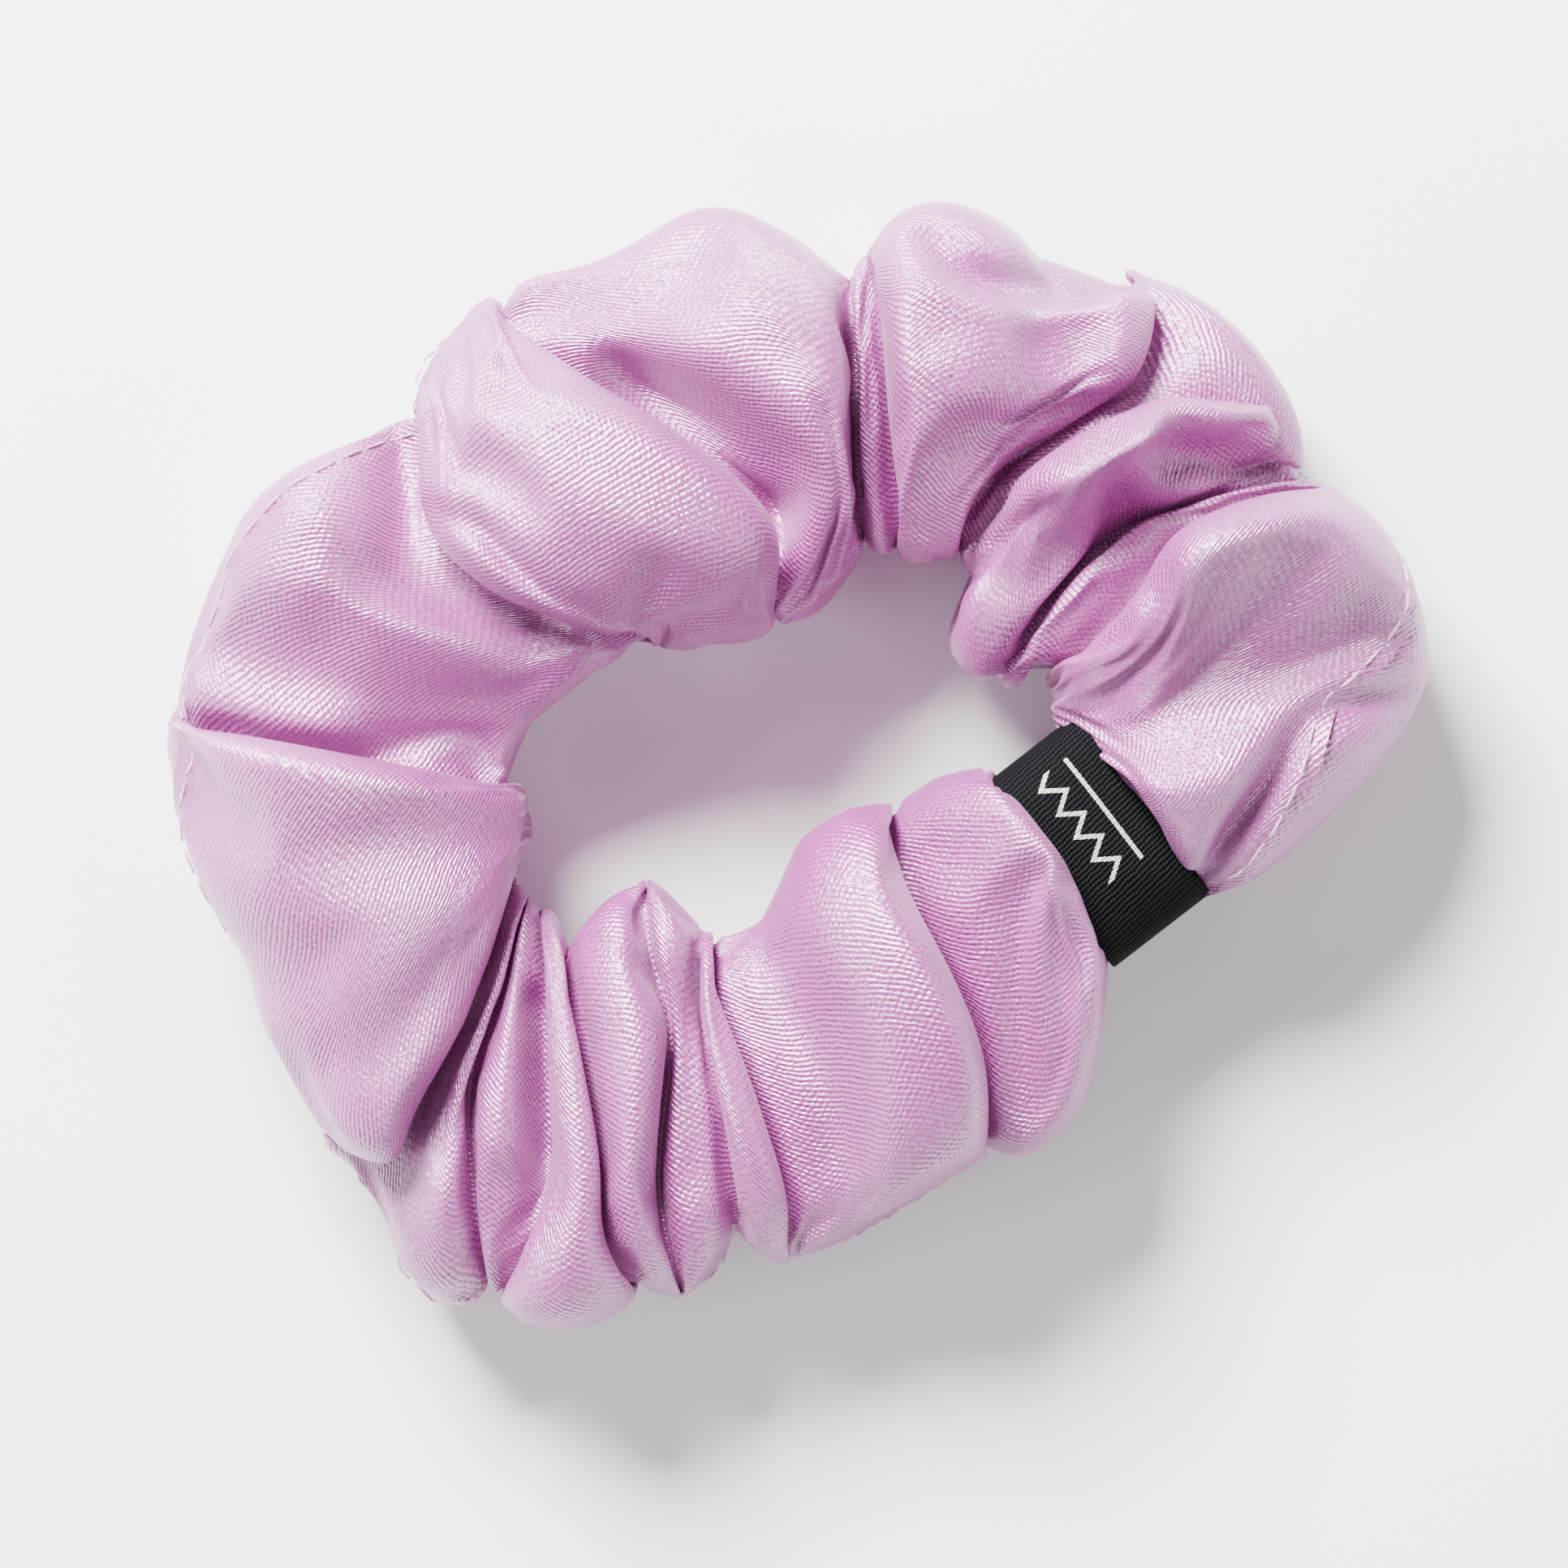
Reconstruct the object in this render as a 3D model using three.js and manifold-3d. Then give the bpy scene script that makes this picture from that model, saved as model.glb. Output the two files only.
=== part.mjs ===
// A satin scrunchie: a gathered cloth tube round a sewn elastic loop, closed under a woven label band.
// Millimetres, +Z up. The scrunchie lies flat on z = 0 and the origin is the centre of its footprint.
// The cloth tube is one strip whose two ends meet inside the label. It is cut here at two gathers, so
// that the right half can slide away from the left half as the elastic is pulled long.
import * as THREE from 'three';
import { ParametricGeometry } from 'three/addons/geometries/ParametricGeometry.js';
import { mergeVertices } from 'three/addons/utils/BufferGeometryUtils.js';
import Module from 'manifold-3d';

// ---- driving dimensions ----
const ELASTIC_Z = 12.5; // height of the elastic's centre above the table
const PRESSED = 2.6; // how far each puff's underside is pressed flat by the table
const WALL = 1.1; // bulk of the gathered cloth wall
const CREASE = 0.66; // height of the tube at a gather, as a share of the puff beside it
const PINCH = 0.3; // the same where the tube goes into the label
const CUT_GAP = 0.3; // between the two halves of the cover
const PUFF_COLUMNS = 5; // sections along each puff
const RING_ROWS = 16; // points round each section
const BRAID = { width: 6, height: 1.4, wall: 0.32 }; // flat braided elastic
const LOOP_STEPS = 44; // straight stretches along the elastic
const STRANDS = 4; // rubber strands inside the braid
const STRAND_RADIUS = 0.22;
const STRAND_PITCH = 1.2;
const LAP_LENGTH = 12; // overlap of the elastic's two sewn ends
const LAP_LIFT = 2.0; // how far one end rides above the other
const LABEL = { width: 10, thickness: 0.5, halfAcross: 8.7, halfHigh: 5.4, lap: 7 };
const NECK = { halfAcross: 7.0, halfHigh: 3.7 }; // outer end of the tube, inside the label
const TUCK = { halfAcross: 5.5, halfHigh: 2.3 }; // inner end, tucked into the outer one
const THREAD_RADIUS = 0.2;
const THREAD_SIDES = 5;
const THREAD_CLEARANCE = 0.2; // round a thread where it passes through cloth
const SEAM_INSET = 2.1; // long seam's thread, inside the cover's inner face
const SEAM_ANGLE = THREE.MathUtils.degToRad(14); // above the tube's outer side

// The label sits here, with the ring running along TANGENT through it.
const LABEL_CENTRE = new THREE.Vector2(24.2, -6.0);
const TANGENT = new THREE.Vector2(0.79, 0.61).normalize();
const ACROSS = new THREE.Vector2(TANGENT.y, -TANGENT.x); // from the ring's hole outwards

// Route of the elastic, anticlockwise from the label.
const ELASTIC_ROUTE = [
  [24.2, -6], [29.8, -1.7], [33.2, 4.5], [31, 13.5], [22.8, 21.5], [12.5, 26], [0, 25], [-12, 22],
  [-24, 14.8], [-32.5, 3], [-32, -10], [-24, -21.2], [-12, -24.6], [0, -21], [11, -15.6], [18.6, -10.3],
];

// The puffs between gathers, anticlockwise from the label: the outline on the ring's outer side, the
// outline on its hole side, and how far the top stands above the elastic.
const PUFFS = [
  { top: 14.5, outer: [[33.8, -9.3], [39, -7.6], [46.5, -1.6], [52.1, 7.8], [49.8, 17], [43.4, 23]],
    inner: [[23.4, 4.2], [20.9, 5.6], [20.2, 8.4]] },
  { top: 12, outer: [[43.4, 23], [42.4, 29.5], [38.2, 34.8], [33.4, 39.4], [30.2, 39]],
    inner: [[20.2, 8.4], [15.2, 6.5], [11.7, 9.5], [12.8, 13.6], [14.6, 17]] },
  { top: 14, outer: [[30.2, 39], [24, 39.6], [19, 41.2], [17, 45.2], [11.7, 47], [5.2, 44.2], [4, 40.6]],
    inner: [[14.6, 17], [10.5, 16.4], [7.4, 16.6], [5, 20]] },
  { top: 13.5, outer: [[4, 40.6], [-1, 44.8], [-7.6, 46.6], [-14, 43], [-19, 41.2], [-23.2, 40.8]],
    inner: [[5, 20], [3.2, 14.2], [0.4, 11.6], [-1.6, 12.4]] },
  { top: 15.5, outer: [[-23.2, 40.8], [-27.4, 37], [-30.4, 33], [-31.2, 29.2]],
    inner: [[-1.6, 12.4], [-4.2, 10.2], [-8, 9.8], [-12.3, 10.6]] },
  { top: 12, outer: [[-31.2, 29.2], [-37.5, 27.6], [-44, 22], [-49.6, 13.4], [-51.8, 7.2], [-51.4, 3.9]],
    inner: [[-12.3, 10.6], [-17, 8.2], [-21, 6], [-22.6, 2.2], [-23, -1]] },
  { top: 15, outer: [[-51.4, 3.9], [-50.6, -5], [-47.6, -13], [-44.4, -16.6], [-43.4, -22.6], [-37.8, -31]],
    inner: [[-23, -1], [-21.9, -3], [-22.9, -6.6], [-23.4, -9.8]] },
  { top: 11, outer: [[-37.8, -31], [-35.2, -38], [-30.4, -45.8], [-27, -46.6], [-25.4, -43.4]],
    inner: [[-23.4, -9.8], [-22.2, -10.6], [-21, -11.2]] },
  { top: 12.5, outer: [[-25.4, -43.4], [-23.6, -46], [-19.2, -46.9], [-14, -44.8], [-12.4, -42.8]],
    inner: [[-21, -11.2], [-19.9, -12], [-18.7, -13.2]] },
  { top: 13, outer: [[-12.4, -42.8], [-9.2, -43.8], [-6, -41.4], [-5.1, -38.2]],
    inner: [[-18.7, -13.2], [-16, -9.6], [-12.6, -8.8], [-9.6, -11], [-7.8, -13.4]] },
  { top: 14, outer: [[-5.1, -38.2], [-2.4, -40.6], [2.2, -40.6], [8, -37.4], [13.6, -33.8], [15.7, -31.8]],
    inner: [[-7.8, -13.4], [-2.6, -12.6], [-0.2, -7.6], [3.4, -3.4], [7.9, -3]] },
  { top: 14, outer: [[15.7, -31.8], [18.4, -32.4], [22.8, -29], [25.4, -23], [25, -16.2]],
    inner: [[7.9, -3], [11, -0.6], [13.6, -0.6], [14.6, -2.7]] },
];
const FIRST_LEFT = 3; // the left half is puffs 3 to 9
const FIRST_LOWER_RIGHT = 10;

const COLOURS = { satin: 0xe3addd, elastic: 0xf2eef0, rubber: 0xe8e2cf, label: 0x16181b, thread: 0xf1d3ea };

const wasm = await Module();
wasm.setup();
const group = new THREE.Group();
group.name = 'scrunchie';

// ---- helpers ----

function addMesh(name, geometry, colour, roughness) {
  const mesh = new THREE.Mesh(
    geometry, new THREE.MeshStandardMaterial({ color: colour, roughness, metalness: 0 }));
  mesh.name = name;
  group.add(mesh);
  return mesh;
}

function toSolid(geometry) {
  const bare = geometry.index ? geometry.toNonIndexed() : geometry.clone();
  for (const key of Object.keys(bare.attributes)) if (key !== 'position') bare.deleteAttribute(key);
  const merged = mergeVertices(bare, 1e-4);
  return new wasm.Manifold(new wasm.Mesh({
    numProp: 3,
    vertProperties: merged.attributes.position.array,
    triVerts: new Uint32Array(merged.index.array),
  }));
}

function fromSolid(solid) {
  const { vertProperties, triVerts } = solid.getMesh();
  const geometry = new THREE.BufferGeometry();
  geometry.setAttribute('position', new THREE.BufferAttribute(new Float32Array(vertProperties), 3));
  geometry.setIndex(new THREE.BufferAttribute(new Uint32Array(triVerts), 1));
  geometry.computeVertexNormals();
  return geometry;
}

const cut = (geometry, cutters) =>
  fromSolid(cutters.reduce((solid, cutter) => solid.subtract(toSolid(cutter)), toSolid(geometry)));

const curve2 = (points) =>
  new THREE.CatmullRomCurve3(points.map(([x, y]) => new THREE.Vector3(x, y, 0)), false, 'centripetal');

// Moves from the label's own frame (across the ring, up, along the ring) to the row frame.
function atLabel(across, up, along) {
  return new THREE.Vector3(
    LABEL_CENTRE.x + ACROSS.x * across + TANGENT.x * along,
    LABEL_CENTRE.y + ACROSS.y * across + TANGENT.y * along,
    ELASTIC_Z + up);
}

// ---- satin cover ----

// A section of the tube: its middle, its half width towards the outside, and its reach up and down.
const section = (inner, outer, top, bottom) => ({
  middle: inner.clone().add(outer).multiplyScalar(0.5),
  half: outer.clone().sub(inner).multiplyScalar(0.5),
  top,
  bottom,
});

function puffSections(puff, startShare, endShare) {
  const outer = curve2(puff.outer);
  const inner = curve2(puff.inner);
  const made = [];
  for (let i = 0; i <= PUFF_COLUMNS; i++) {
    const t = i / PUFF_COLUMNS;
    const share = THREE.MathUtils.lerp(startShare, endShare, t);
    const swell = share + (1 - share) * Math.sin(Math.PI * t) ** 0.6;
    made.push(section(inner.getPoint(t), outer.getPoint(t), puff.top * swell,
      (ELASTIC_Z + PRESSED) * swell));
  }
  return made;
}

function neckSection({ halfAcross, halfHigh }, along) {
  return section(
    atLabel(-halfAcross, 0, along).setZ(0), atLabel(halfAcross, 0, along).setZ(0), halfHigh, halfHigh);
}

// A point of a section at an angle round it, sunk below the cloth's outer face by depth.
function onSection(s, angle, depth, target) {
  const width = s.half.length();
  const reach = Math.sin(angle) > 0 ? s.top : s.bottom;
  const x = Math.cos(angle) * (width - depth) / width;
  target.copy(s.half).multiplyScalar(x).add(s.middle);
  return target.setZ(Math.max(ELASTIC_Z + Math.sin(angle) * (reach - depth), depth));
}

// A tube wall: the outer face out along the sections, then the inner face back.
function tubeWall(sections) {
  const count = sections.length;
  return new ParametricGeometry((u, v, target) => {
    const column = Math.round(v * count * 2) % (count * 2);
    const angle = -(Math.round(u * RING_ROWS) % RING_ROWS) * 2 * Math.PI / RING_ROWS;
    const outside = column < count;
    onSection(sections[outside ? column : 2 * count - 1 - column], angle, outside ? 0 : WALL, target);
  }, RING_ROWS, count * 2);
}

// Joins puffs end to end. The cut ends are drawn back a little, so that the halves don't touch.
function puffRun(first, last) {
  const sections = [];
  for (let i = first; i <= last; i++) {
    const startShare = i === 0 ? PINCH : CREASE;
    const endShare = i === PUFFS.length - 1 ? PINCH : CREASE;
    sections.push(...puffSections(PUFFS[i], startShare, endShare).slice(i > first ? 1 : 0));
  }
  return sections;
}

function drawBack(sections, end) {
  const at = end > 0 ? sections.length - 1 : 0;
  const next = sections[at - end];
  const pull = next.middle.clone().sub(sections[at].middle).setLength(CUT_GAP / 2 + 0.05);
  sections[at].middle.add(pull);
}

const upperRight = [
  neckSection(NECK, -3), neckSection(NECK, 0), neckSection(NECK, 5.2), ...puffRun(0, FIRST_LEFT - 1)];
const left = puffRun(FIRST_LEFT, FIRST_LOWER_RIGHT - 1);
const lowerRight = [
  ...puffRun(FIRST_LOWER_RIGHT, PUFFS.length - 1),
  neckSection(TUCK, -4), neckSection(TUCK, -1), neckSection(TUCK, 2)];
drawBack(upperRight, 1);
drawBack(left, -1);
drawBack(left, 1);
drawBack(lowerRight, -1);

// ---- threads ----

// An outline carried along a path.
const carry = (shape, path, steps) =>
  new THREE.ExtrudeGeometry(shape, { steps, bevelEnabled: false, extrudePath: path });

function roundSection(radius) {
  const corners = [];
  for (let i = 0; i < THREAD_SIDES; i++) {
    const angle = 2 * Math.PI * i / THREAD_SIDES;
    corners.push(new THREE.Vector2(radius * Math.cos(angle), radius * Math.sin(angle)));
  }
  return new THREE.Shape(corners);
}

const threadTube = (points, radius, stepsPerPoint) => carry(
  roundSection(radius), new THREE.CatmullRomCurve3(points, false, 'centripetal'),
  points.length * stepsPerPoint);

// A thread sewn up and down through cloth at each column, half its height either side of the middle.
function stitchPoints(placeAt, reach, pitch, high) {
  const points = [];
  let side = high;
  for (let along = -reach; along <= reach + 0.01; along += pitch) {
    points.push(placeAt(along, side), placeAt(along, -side));
    side = -side;
  }
  return points;
}

// Closing stitches: through the outer end, the tucked end and the elastic, between its strands.
const STITCH_STEPS = 4;
const CLOSING_ALONG = -1.2; // where the row of closing stitches crosses the label's middle
const CLOSING_HIGH = NECK.halfHigh - 0.1; // the thread sinks into the cloth
const closingStitch = (radius) => threadTube(
  stitchPoints(
    (across, up) => atLabel(across, up, CLOSING_ALONG), STRAND_PITCH * 2, STRAND_PITCH, CLOSING_HIGH),
  radius, STITCH_STEPS);

// ---- elastic ----

const elasticLoop = new THREE.CatmullRomCurve3(
  ELASTIC_ROUTE.map(([x, y]) => new THREE.Vector3(x, y, ELASTIC_Z)), true, 'centripetal');
const LOOP_LENGTH = elasticLoop.getLength();
const LAP_AT = 0.5; // where the ends are sewn, as a share of the loop from the label

// The elastic's centre line from its lower end, once round, to its upper end above it.
function elasticPath(sideways) {
  const points = [];
  const turn = 1 + LAP_LENGTH / LOOP_LENGTH;
  for (let i = 0; i <= LOOP_STEPS; i++) {
    const share = i / LOOP_STEPS;
    const at = (LAP_AT - (turn - 1) / 2 + share * turn + 1) % 1;
    const point = elasticLoop.getPointAt(at);
    const tangent = elasticLoop.getTangentAt(at);
    const lift = THREE.MathUtils.smoothstep(share, 0.82, 0.91) * LAP_LIFT;
    points.push(new THREE.Vector3(
      point.x + tangent.y * sideways, point.y - tangent.x * sideways, ELASTIC_Z + lift));
  }
  return new THREE.CatmullRomCurve3(points, false, 'centripetal');
}

// A flat bar's outline with bevelled edges.
function barOutline(width, height) {
  const edge = height / 2;
  const flat = width / 2 - edge / 2;
  return [
    [edge, -flat], [edge, flat], [0, width / 2], [-edge, flat], [-edge, -flat], [0, -width / 2],
  ].map(([x, y]) => new THREE.Vector2(x, y));
}

function braidGeometry() {
  const bar = new THREE.Shape(barOutline(BRAID.width, BRAID.height));
  bar.holes.push(new THREE.Path(barOutline(BRAID.width - 3 * BRAID.wall, BRAID.height - 2 * BRAID.wall)));
  return carry(bar, elasticPath(0), LOOP_STEPS);
}

// Zigzag stitches through the lap, between the rubber strands.
const lapPoint = elasticLoop.getPointAt(LAP_AT);
const lapTangent = elasticLoop.getTangentAt(LAP_AT);
const lapPlace = (along) => (across, up) => new THREE.Vector3(
  lapPoint.x + lapTangent.y * across + lapTangent.x * along,
  lapPoint.y - lapTangent.x * across + lapTangent.y * along,
  ELASTIC_Z + LAP_LIFT / 2 + up);
const LAP_HIGH = (LAP_LIFT + BRAID.height) / 2 + 0.3;
const lapStitch = (along, radius) => threadTube(
  stitchPoints(lapPlace(along), STRAND_PITCH, STRAND_PITCH, LAP_HIGH), radius, STITCH_STEPS);

// ---- label ----

// The band's section: once round the neck, with its ends lapped underneath.
function labelShape() {
  const { halfAcross, halfHigh, thickness, lap } = LABEL;
  const loop = (inset, turn) => {
    const a = halfAcross - inset;
    const b = halfHigh - inset;
    const angle = -Math.PI / 2 + turn;
    const c = Math.cos(angle);
    const s = Math.sin(angle);
    return new THREE.Vector2(a * Math.sign(c) * Math.abs(c) ** 0.6, b * Math.sign(s) * Math.abs(s) ** 0.6);
  };
  const steps = 28;
  const outside = [];
  const inside = [];
  for (let i = 0; i <= steps; i++) {
    const turn = 2 * Math.PI * i / steps;
    const shrink = THREE.MathUtils.smoothstep(i / steps, 0.82, 0.9) * (thickness + 0.25);
    outside.push(loop(shrink, turn));
    inside.push(loop(shrink + thickness, turn));
  }
  const first = outside[0].clone().setX(-lap / 2);
  outside.unshift(first);
  inside.unshift(first.clone().setY(first.y + thickness));
  const last = outside[outside.length - 1].clone().setX(lap / 2);
  outside.push(last);
  inside.push(last.clone().setY(last.y + thickness));
  return new THREE.Shape([...outside, ...inside.reverse()]);
}

function labelGeometry() {
  const band = new THREE.ExtrudeGeometry(labelShape(), { depth: LABEL.width, bevelEnabled: false });
  const place = new THREE.Matrix4().makeBasis(
    new THREE.Vector3(ACROSS.x, ACROSS.y, 0), new THREE.Vector3(0, 0, 1),
    new THREE.Vector3(-TANGENT.x, -TANGENT.y, 0));
  return band.applyMatrix4(place.setPosition(atLabel(0, 0, LABEL.width / 2)));
}

const LAP_MIDDLE = -LABEL.halfHigh + LABEL.thickness + 0.12; // between the label's two lapped ends
const LABEL_STITCH_HIGH = 0.75;
const labelStitch = (across, radius) => threadTube(
  stitchPoints((along, up) => atLabel(across, LAP_MIDDLE + up, along), 3.6, 2.4, LABEL_STITCH_HIGH),
  radius, STITCH_STEPS);

// ---- long seam ----

function longSeam(sections) {
  const points = sections.map((s) => onSection(s, SEAM_ANGLE, WALL + SEAM_INSET, new THREE.Vector3()));
  return threadTube(points.slice(1, -1), THREAD_RADIUS, 2);
}

// ---- assembly ----

const grown = THREAD_RADIUS + THREAD_CLEARANCE;
const satin = [COLOURS.satin, 0.4];
addMesh('satin_cover_left', tubeWall(left), ...satin);
addMesh('satin_cover_upper_right', cut(tubeWall(upperRight), [closingStitch(grown)]), ...satin);
addMesh('satin_cover_lower_right', cut(tubeWall(lowerRight), [closingStitch(grown)]), ...satin);

addMesh('long_seam_thread_left', longSeam(left), COLOURS.thread, 0.6);
addMesh('long_seam_thread_upper_right', longSeam(upperRight.slice(3)), COLOURS.thread, 0.6);
addMesh('long_seam_thread_lower_right', longSeam(lowerRight.slice(0, -3)), COLOURS.thread, 0.6);
addMesh('closing_seam_thread', closingStitch(THREAD_RADIUS), COLOURS.thread, 0.6);

const LAP_ROWS = { elastic_lap_stitches_1: -2.5, elastic_lap_stitches_2: 2.5 };
const lapCutters = Object.values(LAP_ROWS).map((along) => lapStitch(along, THREAD_RADIUS * 0.75 + 0.1));
const closingHole = closingStitch(grown);
addMesh('elastic_braid', cut(braidGeometry(), [...lapCutters, closingHole]), COLOURS.elastic, 0.8);
for (const [name, along] of Object.entries(LAP_ROWS)) {
  addMesh(name, lapStitch(along, THREAD_RADIUS * 0.75), COLOURS.thread, 0.6);
}
for (let i = 0; i < STRANDS; i++) {
  const sideways = (i - (STRANDS - 1) / 2) * STRAND_PITCH;
  const strand = carry(roundSection(STRAND_RADIUS), elasticPath(sideways), LOOP_STEPS);
  addMesh('rubber_strand_' + (i + 1), strand, COLOURS.rubber, 0.7);
}

const LABEL_ROWS = { label_lap_stitches_1: -1.8, label_lap_stitches_2: 1.8 };
const labelCutters = Object.values(LABEL_ROWS).map((across) => labelStitch(across, grown));
addMesh('woven_label', cut(labelGeometry(), labelCutters), COLOURS.label, 0.85);
for (const [name, across] of Object.entries(LABEL_ROWS)) {
  addMesh(name, labelStitch(across, THREAD_RADIUS), COLOURS.label, 0.7);
}

// The origin is the centre of the footprint.
const box = new THREE.Box3().setFromObject(group);
group.position.set(-(box.min.x + box.max.x) / 2, -(box.min.y + box.max.y) / 2, -box.min.z);

export default group;
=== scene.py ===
"""A lilac-pink satin scrunchie: a gathered cloth tube round an elastic, closed under a woven label.

Plan points are in millimetres in the CAD frame, +X to the right and +Y away, and add_mesh() turns
finished points into Blender's metres. The folds are listed anticlockwise from the label.
"""

import math

import bpy
import numpy as np
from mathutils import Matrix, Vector


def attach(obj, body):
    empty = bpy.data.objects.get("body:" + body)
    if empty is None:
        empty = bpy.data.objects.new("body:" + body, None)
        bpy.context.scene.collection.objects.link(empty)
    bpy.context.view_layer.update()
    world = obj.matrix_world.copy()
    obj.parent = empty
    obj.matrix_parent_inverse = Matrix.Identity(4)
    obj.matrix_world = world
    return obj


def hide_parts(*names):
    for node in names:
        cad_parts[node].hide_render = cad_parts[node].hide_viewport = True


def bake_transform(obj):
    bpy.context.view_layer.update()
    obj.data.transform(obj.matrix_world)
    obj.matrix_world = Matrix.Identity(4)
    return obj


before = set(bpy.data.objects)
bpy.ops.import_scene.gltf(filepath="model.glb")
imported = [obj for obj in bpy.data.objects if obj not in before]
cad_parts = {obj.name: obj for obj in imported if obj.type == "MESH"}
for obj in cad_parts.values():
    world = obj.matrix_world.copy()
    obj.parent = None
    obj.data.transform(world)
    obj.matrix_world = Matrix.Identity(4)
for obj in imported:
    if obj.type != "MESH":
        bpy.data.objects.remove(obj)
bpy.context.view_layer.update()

MM = 0.001
TINY = 1e-9  # stands in for a length of 0 in a division
MID_Z = 12.5  # height of the elastic
ROWS = 60  # quads round the tube
COLUMN_STEP = 1.0  # along the tube, mm
VALLEY_STEPS = 3  # columns from a fold's edge down to the bottom of a gather

# ---- the folds ----
# A gather is where two folds meet. line is its edge seen from above, from the hole side to the outer
# side. over says which fold lies on top: +1 the next one, -1 the one before, 0 neither. tuck is how far
# the bottom of the gather lies beneath the upper fold.


def gather(line, over=0, tuck=2.0, under=None):
    return {"line": line, "over": over, "tuck": tuck, "under": under or line}


# inner and outer are a fold's outline on the hole side and the outer side, from gather to gather, with
# the gathers' own ends left out. top is its height, and seam is where the long seam crosses it, in
# degrees up from the tube's outer side, at its start, middle and end. roll is how far its edges curl
# over, in millimetres, and spare is its share of the simulation's spare cloth.


def fold(name, inner, outer, top, seam=(-22, -22, -22), roll=2.4, spare=1.0):
    top = top if isinstance(top, tuple) else (top, top)
    return {"name": name, "inner": inner, "outer": outer, "top": top, "seam": seam, "roll": roll,
            "spare": spare}


GATHERS = [
    gather([(21.6, 2.6), (25.5, -0.8), (29.0, -4.4), (31.4, -8.6), (32.6, -11.0)], over=1, tuck=4.0),
    gather([(20.4, 8.1), (23.6, 10.7), (27.9, 14.8), (29.8, 19.2), (36.9, 22.5), (43.3, 23.4)], -1, 3.0),
    gather([(16.9, 7.2), (20.1, 12.8), (24.9, 17.6), (29.4, 20.6), (36.9, 23.0), (41.5, 23.8)], -1, 2.0),
    gather([(13.6, 17.4), (14.8, 21.3), (17.9, 25.2), (24.0, 29.0), (28.8, 30.7), (39.4, 30.4)], -1, 3.0,
           under=[(14.6, 15.5), (17.5, 21), (22, 25), (28, 27), (34, 26.5), (41.6, 24.2)]),
    gather([(13.0, 17.2), (15.5, 22.8), (21, 27.5), (27.4, 30.6), (29.4, 34), (30.0, 38.0), (28.0, 40.3)],
           1, 3.0),
    gather([(7.9, 18.0), (7.9, 21.0), (7.1, 31.6), (6.2, 38.6), (5.4, 42.4)], -1, 0.8),
    gather([(5.3, 18.5), (4.9, 24.0), (4.7, 33.0), (4.1, 40.4)], 0, 0.0),
    gather([(-2.0, 11.9), (-1.2, 16.5), (-1.6, 20.5), (-9.0, 27.1), (-19.0, 33.1), (-25.2, 39.0)],
           1, 3.0),
    gather([(-12.0, 10.3), (-17.0, 10.9), (-23.6, 13.5), (-28.3, 16.5), (-30.8, 20.0), (-31.4, 25),
            (-31.2, 29.6)], -1, 3.0),
    gather([(-23.0, -1.2), (-32.0, 0.4), (-42.0, 2.4), (-51.6, 4.3)], 1, 4.0),
    gather([(-23.4, -9.0), (-24.4, -13.3), (-27.2, -21.3), (-31.2, -28.6), (-32.6, -32.8), (-37.9, -31.1)],
           -1, 3.5),
    gather([(-22.2, -10.4), (-24.6, -18.5), (-26.7, -25.5), (-26.4, -36.0), (-25.4, -42.8)], 0, 0.0),
    gather([(-21.4, -11.4), (-20.7, -18.5), (-20.6, -26.0), (-20.6, -33.5), (-25.0, -43.2)], 1, 1.5),
    gather([(-18.9, -14.4), (-18.5, -18.1), (-17.2, -24.5), (-16.0, -31.0), (-15.6, -38.5), (-12.6, -42.8)],
           -1, 1.2),
    gather([(-12.6, -8.8), (-11.9, -15.5), (-10.2, -21), (-10.8, -27), (-11.3, -34), (-9.6, -43.6)], 0, 0.0),
    gather([(-7.9, -13.3), (-8.2, -18.4), (-7.2, -24.9), (-6.1, -31.0), (-5.2, -38.0)], 1, 1.0),
    gather([(-7.0, -13.4), (-6.6, -18.4), (-4.6, -23.6), (-2.6, -29.0), (-0.6, -35.5), (-0.6, -40.6)],
           -1, 1.5),
    gather([(7.8, -2.9), (8.8, -9.5), (12.6, -16.5), (15.4, -23.5), (15.6, -31.9)], -1, 1.5),
    gather([(15.9, 0.2), (17.7, -2.5), (23.0, -12.2), (25.4, -16.2)], -1, 4.0),
]

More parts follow.
